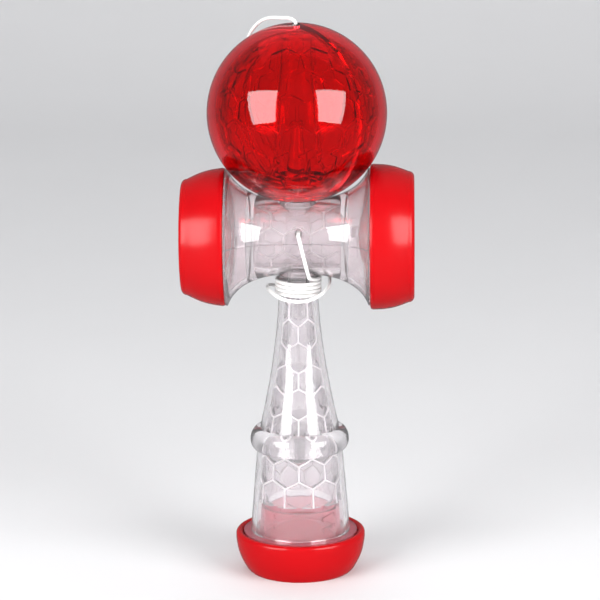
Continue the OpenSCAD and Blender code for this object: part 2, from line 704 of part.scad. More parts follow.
module cord_knot() {
    color(cord_white) difference() {
        translate([string_x, knot_y, string_z]) sphere(r = knot_r);
        translate([string_x - knot_r, knot_y - knot_flat - knot_d, string_z - knot_r]) cube(knot_d);
    }
}

module cord_tail() {
    color(cord_white) tube(tail_full, cord_r, cord_sides);
}

module cord_winding() {
    color(cord_white) tube(wind_path, cord_r, wind_sides);
}

module cord_rise() {
    color(cord_white) tube(rise_path, cord_r, cord_sides);
}

module cord_bead() {
    color(cord_white) intersection() {
        translate([0, 0, bead_z]) sphere(r = bead_r);
        translate([-bead_r, -bead_r, bead_z - bead_flat]) cube([bead_d, bead_d, 2 * bead_flat]);
    }
}

module cord_top() {
    color(cord_white) tube(top_path, cord_r, cord_sides);
}

// Room of the other half of the ball, and of the gap at the seam
module seam_cut(side) {
    translate([side > 0 ? -2 * ball_d + seam_gap / 2 : -seam_gap / 2, -ball_d, -ball_d]) cube(2 * ball_d);
}

// One half of the ball's shell
module ball_half(side) {
    color(glass_red) translate([0, 0, ball_z]) rotate([0, 0, seam_turn]) difference() {
        sphere(r = ball_r);
        sphere(r = ball_in_r);
        seam_cut(side);
        translate([0, 0, -ball_d]) cylinder(r = mouth_r + bore_wall + slip / 2, h = ball_d);
        cylinder(r = string_hole_r, h = ball_d);
    }
}

module ball_left() {
    ball_half(-1);
}

module ball_right() {
    ball_half(1);
}

// Net-patterned core inside one half of the ball
ball_core_r = ball_in_r - slip;
module ball_core(side) {
    ball_cell_side = ball_cell_w / sqrt(3);
    row_turn = ball_cell_side * 3 / 2 / ball_core_r * 180 / PI;
    color(core_red) translate([0, 0, ball_z]) rotate([0, 0, seam_turn]) difference() {
        sphere(r = ball_core_r, $fn = fine_steps);
        sphere(r = ball_core_r - ball_core_wall, $fn = fine_steps);
        seam_cut(side);
        translate([0, 0, -ball_d]) cylinder(r = mouth_r + bore_wall + slip, h = ball_d);
        cylinder(r = bore_top_r + bore_wall + slip, h = ball_d);
        for (i = [0 : ball_rows - 1]) {
            rise = row_turn * (i - (ball_rows - 1) / 2);
            count = round(2 * PI * ball_core_r * cos(rise) / ball_cell_w);
            cell_r = min(ball_cell_side, 2 * PI * ball_core_r * cos(rise) / count / sqrt(3))
                - ball_rib_w / sqrt(3);
            for (k = [0 : count - 1]) {
                turn = 360 / count * (k + (i % 2) / 2);
                if (side * cos(turn) > -sin(row_turn))
                    rotate([0, -rise, turn])
                        translate([ball_core_r - ball_core_wall * ball_floor_share, 0, 0])
                            rotate([0, 90, 0])
                                cell(cell_r, ball_core_wall);
            }
        }
    }
}
ball_rows = 6;
fine_steps = 240;
// Floor of a cell in the ball, as a share of the core's wall
ball_floor_share = 0.6;

module ball_core_left() {
    ball_core(-1);
}

module ball_core_right() {
    ball_core(1);
}

// Funnel and tube that take the spike, closed at the top but for the string hole
module ball_bore() {
    lip_z = funnel_z - funnel_h * funnel_slope_share;
    color(glass_red) translate([0, 0, ball_z]) intersection() {
        sphere(r = ball_r);
        rotate_extrude() polygon([
            [mouth_r + bore_wall, -ball_r], [mouth_r + bore_wall, lip_z], [bore_foot_r + bore_wall, funnel_z],
            [bore_top_r + bore_wall, bore_top_z], [string_hole_r, bore_top_z], [string_hole_r, bore_roof_z],
            [bore_top_r, bore_roof_z], [bore_foot_r, funnel_z], [mouth_r, lip_z], [mouth_r, -ball_r]]);
    }
}
// Sloping part of the funnel, as a share of its height
funnel_slope_share = 0.7;

handle();
handle_core();
tie_screw();
spike();
crosspiece_upper();
crosspiece_lower();
crosspiece_core();
big_cup();
small_cup();
base_plug();
base_cup();
cord_knot();
cord_tail();
cord_winding();
cord_rise();
cord_bead();
cord_top();
ball_left();
ball_right();
ball_core_left();
ball_core_right();
ball_bore();
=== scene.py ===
"""Looks of a clear plastic kendama: the finish of its pieces, its cord and a small studio round it.

The frame holds the pieces in metres: Z is up, the big cup points along +X and the front is -Y.
"""

import json
import math

import bmesh
import bpy
from bpy.props import FloatProperty, FloatVectorProperty, IntProperty, PointerProperty
from mathutils import Matrix, Vector
from mathutils.bvhtree import BVHTree

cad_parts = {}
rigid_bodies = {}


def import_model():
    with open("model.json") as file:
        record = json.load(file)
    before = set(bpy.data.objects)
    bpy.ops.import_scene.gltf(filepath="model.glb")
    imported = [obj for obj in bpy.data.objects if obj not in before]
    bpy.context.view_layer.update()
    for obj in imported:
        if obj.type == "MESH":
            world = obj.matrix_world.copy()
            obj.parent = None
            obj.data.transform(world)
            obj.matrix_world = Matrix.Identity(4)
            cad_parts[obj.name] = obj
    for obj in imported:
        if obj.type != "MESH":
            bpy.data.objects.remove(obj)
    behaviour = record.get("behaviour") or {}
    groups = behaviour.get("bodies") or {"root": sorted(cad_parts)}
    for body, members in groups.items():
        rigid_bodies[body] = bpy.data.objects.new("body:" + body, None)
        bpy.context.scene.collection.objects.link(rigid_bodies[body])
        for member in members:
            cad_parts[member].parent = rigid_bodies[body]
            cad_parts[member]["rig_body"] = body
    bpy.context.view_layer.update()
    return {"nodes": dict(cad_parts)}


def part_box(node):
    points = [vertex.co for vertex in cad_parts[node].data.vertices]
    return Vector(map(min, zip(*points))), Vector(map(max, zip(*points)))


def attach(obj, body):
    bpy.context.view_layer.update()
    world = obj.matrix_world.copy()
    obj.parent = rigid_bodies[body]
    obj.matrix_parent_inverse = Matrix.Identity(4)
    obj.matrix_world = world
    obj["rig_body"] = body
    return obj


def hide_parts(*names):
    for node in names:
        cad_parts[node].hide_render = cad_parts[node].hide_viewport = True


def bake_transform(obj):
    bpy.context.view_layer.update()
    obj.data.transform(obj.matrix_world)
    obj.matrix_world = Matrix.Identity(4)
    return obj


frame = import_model()

bl_info = {
    "name": "Clear Kendama",
    "version": (1, 0, 0),
    "blender": (4, 5, 0),
    "location": "View3D > Sidebar > Kendama",
    "description": "Finishes the kendama's pieces, ties its cord and sets up the studio",
    "category": "Object",
}

MM = 0.001

# Points of a solid that are nearer than this are one, and edges that bend more than this stay sharp
MERGE = 0.001 * MM
CREASE = math.radians(28)

# Route of the cord's free stretches in millimetres, as the model lays it
TAIL_ROUTE = (
    (0.5, -13.4, 119.6), (0.7, -14, 118.6), (1.2, -14.4, 116.5), (1.9, -14.4, 113.5),
    (2.6, -13.9, 110.5), (3.2, -12.7, 107.6), (3.7, -10.9, 105.2), (4, -8.6, 103.6),
)
RISE_ROUTE = (
    (-3.6, 7.9, 96.7), (-6.6, 7.2, 97.4), (-9, 4.9, 98.3), (-10.2, 1.4, 99), (-10, -2.4, 98.8),
    (-8.2, -6, 97.8), (-5.2, -8.8, 96.7), (-1.4, -10.2, 96.1), (2.6, -10, 96.2), (6.2, -8.2, 97),
    (9, -5, 98.4), (10.4, -1, 100), (10.4, 3.2, 101.4), (9.4, 7.4, 102.8), (7.6, 11.4, 104.6),
    (5.4, 15, 107.4), (2.8, 18.2, 111.4), (0, 20.8, 116.4), (-3, 23.2, 122), (-6, 25.4, 128.4),
    (-9, 27.4, 135.4), (-12, 29, 142.8), (-15, 29.8, 150.6), (-17, 29.6, 158),
)
TOP_ROUTE = (
    (-17.9, 28.4, 165), (-18.2, 25.8, 171.2), (-17.8, 22.4, 176.6), (-16.6, 18.6, 180.8),
    (-14.8, 14.8, 184.2), (-12.4, 11.2, 187), (-9.6, 7.8, 188.7), (-6.9, 5, 189.3), (-4.6, 2.9, 189.5),
    (-2.7, 1.5, 189.7), (-1.2, 0.6, 189.35), (-0.3, 0.12, 188.5), (0, 0, 187.2), (0, 0, 185.2),
)

# How finely the cord's path and its tube are made
WIND_POINTS = 40
PATH_FILL = 10
PATH_STEP = 0.16 * MM
CORD_SIDES = 16


def colour(name, description, default):
    """A colour that a user may change."""
    return FloatVectorProperty(
        name=name, description=description, subtype="COLOR", size=3, min=0, max=1, default=default
    )


def length(name, description, default):
    """A length in metres that a user may change."""
    return FloatProperty(
        name=name, description=description, subtype="DISTANCE", unit="LENGTH", precision=4,
        default=default,
    )


def lengths(name, description, default):
    """A place or the sides of a rectangle, in metres, that a user may change."""
    return FloatVectorProperty(
        name=name, description=description, subtype="XYZ_LENGTH", size=len(default), precision=4,
        default=default,
    )


def angle(name, description, degrees):
    """An angle that a user may change."""
    return FloatProperty(
        name=name, description=description, subtype="ANGLE", unit="ROTATION",
        default=math.radians(degrees),
    )


def power(name, description, watts):
    """The power of a light that a user may change."""
    return FloatProperty(name=name, description=description, unit="POWER", min=0, default=watts)


def strength(name, description, default):
    """The strength of the room's light, that a user may change."""
    return FloatProperty(name=name, description=description, min=0, default=default)


def count(name, description, least, default):
    """A whole number that a user may change."""
    return IntProperty(name=name, description=description, min=least, default=default)


class KendamaColours(bpy.types.PropertyGroup):
    """Colours of the kendama's materials and of the studio."""

    clear: colour("Clear plastic", "Tint of the handle and the spike", (0.99, 0.965, 0.98))
    # Painted light: the crosspiece's pink stands in for red light from its cups on clear plastic
    pink: colour("Pinkish plastic", "Tint of the crosspiece between its red cups", (0.985, 0.915, 0.94))
    net: colour("Clear net", "Tint of the net-patterned cores", (0.99, 0.97, 0.985))
    plug: colour("Plug", "Tint of the plug over the red base", (0.98, 0.34, 0.41))
    soft_red: colour("Soft red", "Colour of the three cups", (0.38, 0.002, 0.004))
    glass_red: colour("Clear red", "Tint of the ball's shell", (0.93, 0.03, 0.04))
    net_red: colour("Red net", "Tint of the ball's core", (0.94, 0.12, 0.13))
    bore_red: colour("Red bore", "Tint of the ball's bore", (1.0, 0.22, 0.23))
    cord: colour("Cord", "Colour of the cord's yarn", (0.82, 0.815, 0.805))
    bead: colour("Bead", "Colour of the bead in the ball", (0.87, 0.85, 0.8))
    steel: colour("Steel", "Colour of the tie screw", (0.05, 0.05, 0.055))
    floor: colour("Floor", "Colour of the floor and backdrop", (0.66, 0.66, 0.67))
    room: colour("Room", "Tint of the room's light", (0.95, 0.96, 1))


class KendamaCord(bpy.types.PropertyGroup):
    """Sizes of the cord."""

    diameter: length("Diameter", "Diameter of the cord", 1.2 * MM)
    wind_radius: length("Winding radius", "Radius of the winding at the cord's middle", 7.3 * MM)
    wind_top: length("Winding top", "Height at which the winding starts", 102.2 * MM)
    wind_foot: length("Winding foot", "Height at which the winding ends", 96.51 * MM)
    wind_start: angle("Winding start", "Turn at which the winding starts", -35)
    wind_end: angle("Winding end", "Turn at which the winding ends", 1530)
    strands: count("Strands", "Strands of the braid each way", least=2, default=4)
    lay: length("Lay", "Length of one turn of a strand", 3.6 * MM)
    relief: length("Relief", "How far the strands stand out", 0.09 * MM)


class KendamaNet(bpy.types.PropertyGroup):
    """Sizes of the net on the clear cores."""

    cell: length("Cell", "Width of a six-sided cell", 9 * MM)
    line: length("Line", "Thickness of the net's raised lines", 0.6 * MM)
    inset: length("Inset", "How far the lines' middle lies below the skin over them", 0.4 * MM)
    slip: length("Slip", "Gap between the crosspiece's core and the skin over it", 0.1 * MM)
    foot: length("Foot", "Height at which the net in the handle starts", 25 * MM)
    hole: length("Hole", "Radius left free for the spike in the crosspiece", 8 * MM)
    fewest: count("Fewest cells", "Cells round the handle's neck", least=3, default=5)
    rows: count("Rows", "Rows of cells round the crosspiece", least=4, default=8)


class KendamaStudio(bpy.types.PropertyGroup):
    """Camera and lights."""

    aim: lengths("Aim", "Point that the camera looks at", (0.0005, 0, 0.0942))
    distance: length("Distance", "Distance from the camera to its aim", 1.1)
    turn: angle("Turn", "Turn of the camera towards the big cup", 1.8)
    rise: angle("Rise", "Height of the camera over the horizon", 13.6)
    roll: angle("Roll", "Roll of the camera", -0.5)
    lens: FloatProperty(name="Lens", description="Focal length in millimetres", unit="CAMERA", default=196)
    middle: lengths("Middle", "Point that the lights stand round", (0, 0, 0.11))
    box_turn: angle("Softbox turn", "Turn of each softbox from the camera", 46)
    box_rise: angle("Softbox rise", "Height of the softboxes over the horizon", 14.8)
    box_tilt: angle("Softbox tilt", "How far each softbox faces down below the kendama", 22)
    box_roll: angle("Softbox roll", "How far each softbox leans inwards", 14)
    box_away: length("Softbox distance", "Distance of the softboxes", 0.9)
    box_size: lengths("Softbox size", "Width and height of each softbox", (0.58, 0.66))
    box_power: power("Softbox power", "Power of each softbox", 12)
    sky_place: lengths("Overhead place", "Place of the overhead light", (0, 0.8, 1.3))
    sky_size: lengths("Overhead size", "Width and depth of the overhead light", (1.6, 1.4))
    sky_power: power("Overhead power", "Power of the overhead light", 11)
    fill_place: lengths("Fill place", "Place of the light behind the camera", (0, -1.6, 0.9))
    fill_size: lengths("Fill size", "Width and height of the light behind the camera", (2.2, 1.6))
    fill_power: power("Fill power", "Power of the light behind the camera", 7)
    room: strength("Room light", "Strength of the room's light in front", 0.18)
    room_back: strength("Back light", "Strength of the room's light behind", 0.24)


class Wire:
    """One output socket, whose sums are written as Python expressions."""

    def __init__(self, finish, socket):
        self.finish = finish
        self.socket = socket

    def sum(self, operation, first, second):
        return self.finish.node("ShaderNodeMath", {"operation": operation}, {0: first, 1: second})

    def __add__(self, other):
        return self.sum("ADD", self, other)

    def __sub__(self, other):
        return self.sum("SUBTRACT", self, other)

    def __rsub__(self, other):
        return self.sum("SUBTRACT", other, self)

    def __mul__(self, other):
        return self.sum("MULTIPLY", self, other)

    __radd__ = __add__
    __rmul__ = __mul__


class Finish:
    """A material in the making: its nodes and its one shader."""

    def __init__(self, name):
        self.material = bpy.data.materials.new(name)
        self.material.use_nodes = True
        self.tree = self.material.node_tree
        self.shader = self.tree.nodes["Principled BSDF"]

    def node(self, kind, settings=None, inputs=None, output=0):
        """A new node with its settings and its sockets' values or links; gives one of its outputs."""
        made = self.tree.nodes.new(kind)
        for name, value in (settings or {}).items():
            setattr(made, name, value)
        for name, value in (inputs or {}).items():
            self.feed(made.inputs[name], value)
        return Wire(self, made.outputs[output])

    def feed(self, socket, value):
        if isinstance(value, Wire):
            self.tree.links.new(value.socket, socket)
        else:
            socket.default_value = value

    def set(self, inputs):
        for name, value in inputs.items():
            self.feed(self.shader.inputs[name], value)
        return self

    def noise(self, size, detail=2.0):
        """Noise from 0 to 1 whose grains are about that many metres wide."""
        place = self.node("ShaderNodeTexCoord", output="Object")
        return self.node(
            "ShaderNodeTexNoise", None,
            {"Vector": place, "Scale": 1 / size, "Detail": detail, "Roughness": 0.55},
        )

    def mix(self, share, first, second):
        """A colour between two, by a share from 0 to 1."""
        # Sockets 6 and 7 take the two colours, and output 2 gives the mixed one
        return self.node(
            "ShaderNodeMix", {"data_type": "RGBA"},
            {"Factor": share, 6: (*first, 1), 7: (*second, 1)}, output=2,
        )

    def bump(self, height, distance, strength):
        return self.node(
            "ShaderNodeBump", None, {"Height": height, "Distance": distance, "Strength": strength}
        )


def shade(tint, share):
    """A colour made darker or lighter by a share."""
    return tuple(min(1.0, value * share) for value in tint)


def clear_finish(name, tint, rough, ior, clear=1.0, coat=0.0):
    """Polished clear plastic: faint haze, flow marks of the mould and a wavy surface.

    Below 1, clear makes it milky.
    """
    finish = Finish(name)
    flow = finish.noise(9 * MM)
    haze = finish.noise(1.5 * MM, detail=4)
    return finish.set({
        "Base Color": finish.mix(flow, tint, shade(tint, 0.975)),
        "Roughness": rough + haze * rough,
        "Normal": finish.bump(flow, 0.05 * MM, 0.3),
        "Transmission Weight": clear,
        "IOR": ior,
        "Coat Weight": coat,
    }).material


def soft_finish(name, tint):
    """Soft-touch plastic: satin, with a fine grain and slightly uneven colour."""
    finish = Finish(name)
    cloud = finish.noise(12 * MM, detail=3)
    grain = finish.noise(0.16 * MM, detail=2)
    return finish.set({
        "Base Color": finish.mix(cloud, shade(tint, 0.95), shade(tint, 1.05)),
        "Roughness": 0.18 + cloud * 0.05 + grain * 0.04,
        "Normal": finish.bump(grain, 0.012 * MM, 0.35),
        "Specular IOR Level": 0.22,
    }).material


def cord_finish(name, tint):
    """White braid with a fine fibre, and painted shade that darkens the yarn between the strands."""
    finish = Finish(name)
    strand = finish.node("ShaderNodeAttribute", {"attribute_name": "strand"}, output="Fac")
    fibre = finish.noise(0.12 * MM, detail=3)
    return finish.set({
        # Painted shade: the yarn's colour darkens where the strands sink, between them
        "Base Color": finish.mix(strand * 0.75 + fibre * 0.25, shade(tint, 0.72), shade(tint, 1.06)),
        "Roughness": 0.92 - strand * 0.12,
        "Normal": finish.bump(fibre, 0.02 * MM, 0.6),
        "Sheen Weight": 0.25,
    }).material


def bead_finish(name, tint):
    """Moulded bead: glossy, with a cloudy body."""
    finish = Finish(name)
    cloud = finish.noise(1.4 * MM, detail=3)
    return finish.set({
        "Base Color": finish.mix(cloud, shade(tint, 0.94), shade(tint, 1.04)),
        "Roughness": 0.22 + cloud * 0.1,
        "Normal": finish.bump(cloud, 0.02 * MM, 0.3),
    }).material


def steel_finish(name, tint):
    """Dark plated steel with turning marks."""
    finish = Finish(name)
    mark = finish.noise(0.3 * MM, detail=3)
    return finish.set({
        "Base Color": finish.mix(mark, shade(tint, 0.85), shade(tint, 1.1)),
        "Roughness": 0.28 + mark * 0.12,
        "Normal": finish.bump(mark, 0.01 * MM, 0.3),
        "Metallic": 1.0,
    }).material


def floor_finish(name, tint):
    """Pale matt paper."""
    finish = Finish(name)
    fleck = finish.noise(40 * MM, detail=2)
    return finish.set({
        "Base Color": finish.mix(fleck, shade(tint, 0.99), shade(tint, 1.01)),
        "Roughness": 0.6 + fleck * 0.1,
    }).material


def from_angles(turn, rise):
    """The direction that lies that far round from the front and that far up."""
    return Vector((math.sin(turn) * math.cos(rise), -math.cos(turn) * math.cos(rise), math.sin(rise)))


def add_piece(name, mesh, material):
    """A new object at the origin, with its place in its mesh."""
    piece = bpy.data.objects.new(name, mesh)
    bpy.context.scene.collection.objects.link(piece)
    mesh.materials.clear()
    mesh.materials.append(material)
    return piece


def smooth_piece(name, node, material):
    """A node's solid as one skin, shaded smooth but for its true edges, in the node's place."""
    source = frame["nodes"][node]
    work = bmesh.new()
    work.from_mesh(source.data)
    bmesh.ops.remove_doubles(work, verts=work.verts, dist=MERGE)
    bmesh.ops.dissolve_degenerate(work, edges=work.edges, dist=MERGE)
    for face in work.faces:
        face.smooth = True
    for edge in work.edges:
        edge.smooth = edge.calc_face_angle(0) < CREASE
    mesh = bpy.data.meshes.new(name)
    work.to_mesh(mesh)
    work.free()
    piece = add_piece(name, mesh, material)
    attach(piece, source["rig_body"])
    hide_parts(node)


def repaint(node, material):
    """Gives a node that stays a better material."""
    frame["nodes"][node].data.materials[0] = material


def tube_mesh(name, lines, radius, sides, cyclic=False):
    """Round tubes along lines of points."""
    curve = bpy.data.curves.new(name, "CURVE")
    curve.dimensions = "3D"
    curve.bevel_depth = radius
    # A bevel of resolution 0 has four sides, and each step adds two
    curve.bevel_resolution = sides // 2 - 2
    curve.use_fill_caps = not cyclic
    for line in lines:
        spline = curve.splines.new("POLY")
        spline.points.add(len(line) - 1)
        for slot, point in zip(spline.points, line):
            slot.co = (*point, 1)
        spline.use_cyclic_u = cyclic
    holder = bpy.data.objects.new(name, curve)
    mesh = bpy.data.meshes.new_from_object(holder)
    mesh.name = name
    bpy.data.objects.remove(holder)
    bpy.data.curves.remove(curve)
    for polygon in mesh.polygons:
        polygon.use_smooth = True
    return mesh


class NetRow:
    """A row of six-sided cells, with a zigzag along its top."""

    def __init__(self, middle, side, pitch=1.0, shift=0.0):
        self.middle = middle
        self.side = side
        self.pitch = pitch
        self.shift = shift

    def top(self, along):
        """Height of the zigzag at a place along the row."""
        peak = abs(2 * ((along - self.shift) / self.pitch % 1) - 1)
        return self.middle + self.side / 2 * (1 + peak)

    def corners(self, start, end):
        """Where the zigzag turns: high over a cell's middle at an even k, low between cells at an odd k."""
        half = self.pitch / 2
        first = math.ceil((start - self.shift) / half)
        last = math.floor((end - self.shift) / half)
        return [(k, self.shift + half * k) for k in range(first, last + 1)]


def net_lines(rows, start, end, place, steps=5):
    """Each row's zigzag and the uprights between its cells; the last row only ends the one above it."""
    lines = []
    shares = [i / steps for i in range(steps + 1)]
    for row, below in zip(rows, rows[1:]):
        corners = row.corners(start, end)
        for (k, here), (_, there) in zip(corners, corners[1:]):
            spots = [here + (there - here) * share for share in shares]
            lines.append([place(along, row.top(along)) for along in spots])
            if k % 2:
                high, low = row.top(here), below.top(here)
                lines.append([place(here, high + (low - high) * share) for share in shares])
    return lines


def handle_net(net):
    """Lines of the net in the handle, whose rows hold more cells where it is wider."""
    mesh = frame["nodes"]["handle"].data
    shell = BVHTree.FromPolygons([v.co for v in mesh.vertices], [p.vertices for p in mesh.polygons])
    # Several rays, because a single one may slip between two triangles
    rays = [from_angles(math.radians(degrees), 0) for degrees in (-37, -17, 17, 37, 163)]

    def reach(height):
        """Radius of the lines at a height, below the nearest spot that a ray meets on the shell."""
        hits = [shell.ray_cast(Vector((0, 0, height)), ray)[3] for ray in rays]
        return min(hit for hit in hits if hit) - net.inset

    def place(turn, height):
        radius = reach(height)
        return Vector((radius * math.cos(turn), radius * math.sin(turn), height))

    side = net.cell / math.sqrt(3)
    step = 1.5 * side
    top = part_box("handle_core")[1].z
    front = -math.pi / 2
    rows = [NetRow(net.foot, 0)]
    for i in range(int((top - net.foot) / step)):
        middle = net.foot + step * (i + 0.5)
        pitch = 2 * math.pi / max(net.fewest, round(2 * math.pi * reach(middle) / net.cell))
        rows.insert(0, NetRow(middle, side, pitch, front + i % 2 * pitch / 2))
    # One whole turn from the front, with a little more so that rounding drops no corner
    slack = 0.001 * math.pi
    return net_lines(rows, front - slack, front + 2 * math.pi + slack, place)


def crosspiece_net(net):
    """Lines of the net in the crosspiece, left out round the spike."""
    low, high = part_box("crosspiece_core")
    radius = (high.y - low.y) / 2 + net.slip - net.inset
    middle = (low.z + high.z) / 2

    def place(along, up):
        turn = up / radius
        return Vector((along, -radius * math.cos(turn), middle + radius * math.sin(turn)))

    step = 2 * math.pi * radius / net.rows
    side = step / 1.5
    rows = [NetRow(step * i, side, net.cell, i % 2 * net.cell / 2) for i in range(net.rows, -1, -1)]
    lines = net_lines(rows, low.x, high.x, place)
    return [line for line in lines if all(math.hypot(p.x, p.y) > net.hole for p in line)]


def curve_through(points, fill):
    """Points of a smooth curve through given ones."""
    made = []
    last = len(points) - 1
    for i in range(last):
        a, b, c, d = (points[max(0, min(last, k))] for k in (i - 1, i, i + 1, i + 2))
        bend = 2 * a - 5 * b + 4 * c - d
        sway = 3 * b - a - 3 * c + d
        for step in range(fill):
            t = step / fill
            made.append(0.5 * (2 * b + (c - a) * t + bend * t**2 + sway * t**3))
    return made + [points[-1]]


def evenly(points, step):
    """The same path with points about one step apart."""
    made = [points[0]]
    left = step
    for a, b in zip(points, points[1:]):
        run = (b - a).length
        while left <= run:
            made.append(a.lerp(b, left / run))
            left += step
        left -= run
    return made + [points[-1]]


def wind_point(cord, share):
    """A point of the winding at a share of its length."""
    turn = cord.wind_start + (cord.wind_end - cord.wind_start) * share
    height = cord.wind_top + (cord.wind_foot - cord.wind_top) * share
    return Vector((cord.wind_radius * math.cos(turn), cord.wind_radius * math.sin(turn), height))


def cord_path(cord):
    """The cord's middle line from the knot round the neck and over the ball to the bead."""
    tail, rise, top = (
        [Vector(point) * MM for point in route] for route in (TAIL_ROUTE, RISE_ROUTE, TOP_ROUTE)
    )
    winding = [wind_point(cord, i / WIND_POINTS) for i in range(WIND_POINTS + 1)]
    start = Vector((tail[0].x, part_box("cord_knot")[0].y, tail[0].z))
    end = Vector((0, 0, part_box("cord_bead")[1].z))
    return evenly(curve_through([start] + tail + winding + rise + top + [end], PATH_FILL), PATH_STEP)


def braid(mesh, points, cord, sides):
    """Raises the strands of a braid on a cord's tube and keeps their height as an attribute, which the
    cord's finish uses for painted shade between the strands.
    """
    strand = mesh.attributes.new("strand", "FLOAT", "POINT")
    run = 0
    for ring, point in enumerate(points):
        run += (point - points[ring - 1]).length if ring else 0
        twist = 2 * math.pi * run / cord.lay
        for k in range(sides):
            place = 2 * math.pi * k / sides
            left = math.cos((place + twist) * cord.strands)
            right = math.cos((place - twist) * cord.strands)
            height = max(left, right) * 0.5 + 0.5
            vertex = mesh.vertices[ring * sides + k]
            out = vertex.co - point
            vertex.co += out.normalized() * cord.relief * (height - 1)
            strand.data[ring * sides + k].value = height


class KENDAMA_OT_camera(bpy.types.Operator):
    """Places the camera in front of the kendama, a little above it"""

    bl_idname = "kendama.camera"
    bl_label = "Place camera"

    def execute(self, context):
        studio = context.scene.kendama_studio
        data = bpy.data.cameras.new("studio_camera")
        data.lens = studio.lens
        data.clip_end = 20
        camera = bpy.data.objects.new("studio_camera", data)
        context.scene.collection.objects.link(camera)
        back = from_angles(studio.turn, studio.rise)
        place = Vector(studio.aim) + back * studio.distance
        look = (-back).to_track_quat("-Z", "Y").to_matrix().to_4x4()
        camera.matrix_world = Matrix.Translation(place) @ look @ Matrix.Rotation(studio.roll, 4, "Z")
        context.scene.camera = camera
        return {"FINISHED"}


class KENDAMA_OT_cord(bpy.types.Operator):
    """Ties the cord from the crosspiece round the neck and over the ball"""

    bl_idname = "kendama.cord"
    bl_label = "Tie cord"

    # Radius of the tight knot's yarn as a share of the cord's diameter, and the height of its strands,
    # which sets the knot's painted shade
    knot_yarn = 0.42
    knot_strand = 0.8

    def execute(self, context):
        cord = context.scene.kendama_cord
        colours = context.scene.kendama_colours
        yarn = cord_finish("white_braid", colours.cord)
        points = cord_path(cord)
        mesh = tube_mesh("cord", [points], cord.diameter / 2, CORD_SIDES)
        braid(mesh, points, cord, CORD_SIDES)
        piece = add_piece("cord", mesh, yarn)
        knot = self.knot(cord, yarn)
        repaint("cord_bead", bead_finish("moulded_bead", colours.bead))
        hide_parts("cord_tail", "cord_winding", "cord_rise", "cord_top")
        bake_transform(piece)
        whole = sum((b - a).length for a, b in zip(points, points[1:]))
        [tuple(p) for p in points]
        return {"FINISHED"}

    def knot(self, cord, yarn):
        """An overhand knot of the cord's own yarn, inside the crosspiece."""
        low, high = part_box("cord_knot")
        middle = (low + high) / 2
        thick = cord.diameter * self.knot_yarn
        reach = (high.z - low.z) / 2 - thick
        steps = 96
        points = []
        for i in range(steps):
            t = 2 * math.pi * i / steps
            across = math.sin(t) + 2 * math.sin(2 * t)
            up = math.cos(t) - 2 * math.cos(2 * t)
            points.append(middle + Vector((across, math.sin(3 * t), up)) * (reach / 3))
        mesh = tube_mesh("knot", [points], thick, sides=12, cyclic=True)
        strand = mesh.attributes.new("strand", "FLOAT", "POINT")
        for spot in strand.data:
            spot.value = self.knot_strand
        piece = add_piece("knot", mesh, yarn)
        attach(piece, "ken")
        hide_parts("cord_knot")
        return piece


class KENDAMA_OT_clear_pieces(bpy.types.Operator):
    """Gives the handle, the crosspiece, the spike and the plug their clear plastic"""

    bl_idname = "kendama.clear_pieces"
    bl_label = "Finish clear pieces"

    def execute(self, context):
        colours = context.scene.kendama_colours
        clear = clear_finish("clear_plastic", colours.clear, rough=0.012, ior=1.42, clear=0.94)
        # The crosspiece's pink tint is painted red light from its red cups
        milky = clear_finish("milky_plastic_painted_red_light", colours.pink, rough=0.012, ior=1.36, clear=0.88, coat=0.6)
        pink = clear_finish("pink_plastic", colours.plug, rough=0.012, ior=1.45, clear=0.8)
        core = clear_finish("clear_net", colours.net, rough=0.02, ior=1.4, clear=0.84)
        line = clear_finish("clear_line", colours.net, rough=0.3, ior=1.4, clear=0.1)
        shells = {
            "handle": clear,
            "spike": clear,
            "crosspiece_upper": milky,
            "crosspiece_lower": milky,
            "base_plug": pink,
        }
        for node, finish in shells.items():
            smooth_piece("clear_" + node, node, finish)
        for node in ("handle_core", "crosspiece_core"):
            smooth_piece("net_" + node, node, core)
        self.net(context.scene.kendama_net, line)
        repaint("tie_screw", steel_finish("plated_steel", colours.steel))
        return {"FINISHED"}

    def net(self, net, material):
        """The raised lines between the cells of both cores."""
        for name, lines in (("handle_net", handle_net(net)), ("crosspiece_net", crosspiece_net(net))):
            piece = add_piece(name, tube_mesh(name, lines, net.line / 2, sides=8), material)
            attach(piece, "ken")


class KENDAMA_OT_cups(bpy.types.Operator):
    """Gives the three cups their soft red finish"""

    bl_idname = "kendama.cups"
    bl_label = "Finish cups"

    def execute(self, context):
        soft = soft_finish("soft_red", context.scene.kendama_colours.soft_red)
        for node in ("big_cup", "small_cup", "base_cup"):
            smooth_piece("soft_" + node, node, soft)
        return {"FINISHED"}


class KENDAMA_OT_ball(bpy.types.Operator):
    """Gives the ball its see-through red"""

    bl_idname = "kendama.ball"
    bl_label = "Finish ball"

    def execute(self, context):
        colours = context.scene.kendama_colours
        # What is inside bends light less than the shell, so that the net stays clear to see
        shell = clear_finish("clear_red", colours.glass_red, rough=0.01, ior=1.46)
        net = clear_finish("red_net", colours.net_red, rough=0.02, ior=1.18)
        bore = clear_finish("clear_red_bore", colours.bore_red, rough=0.01, ior=1.18)
        for node in ("ball_left", "ball_right"):
            repaint(node, shell)
        repaint("ball_bore", bore)
        for node in ("ball_core_left", "ball_core_right"):
            smooth_piece("net_" + node, node, net)
        return {"FINISHED"}


def add_light(name, place, target, size, watts, roll=0.0):
    """A soft rectangular light that faces its target."""
    data = bpy.data.lights.new(name, "AREA")
    data.shape = "RECTANGLE"
    data.size, data.size_y = size
    data.energy = watts
    light = bpy.data.objects.new(name, data)
    bpy.context.scene.collection.objects.link(light)
    way = (target - place).to_track_quat("-Z", "Y").to_matrix().to_4x4()
    light.matrix_world = Matrix.Translation(place) @ way @ Matrix.Rotation(roll, 4, "Z")
    return light


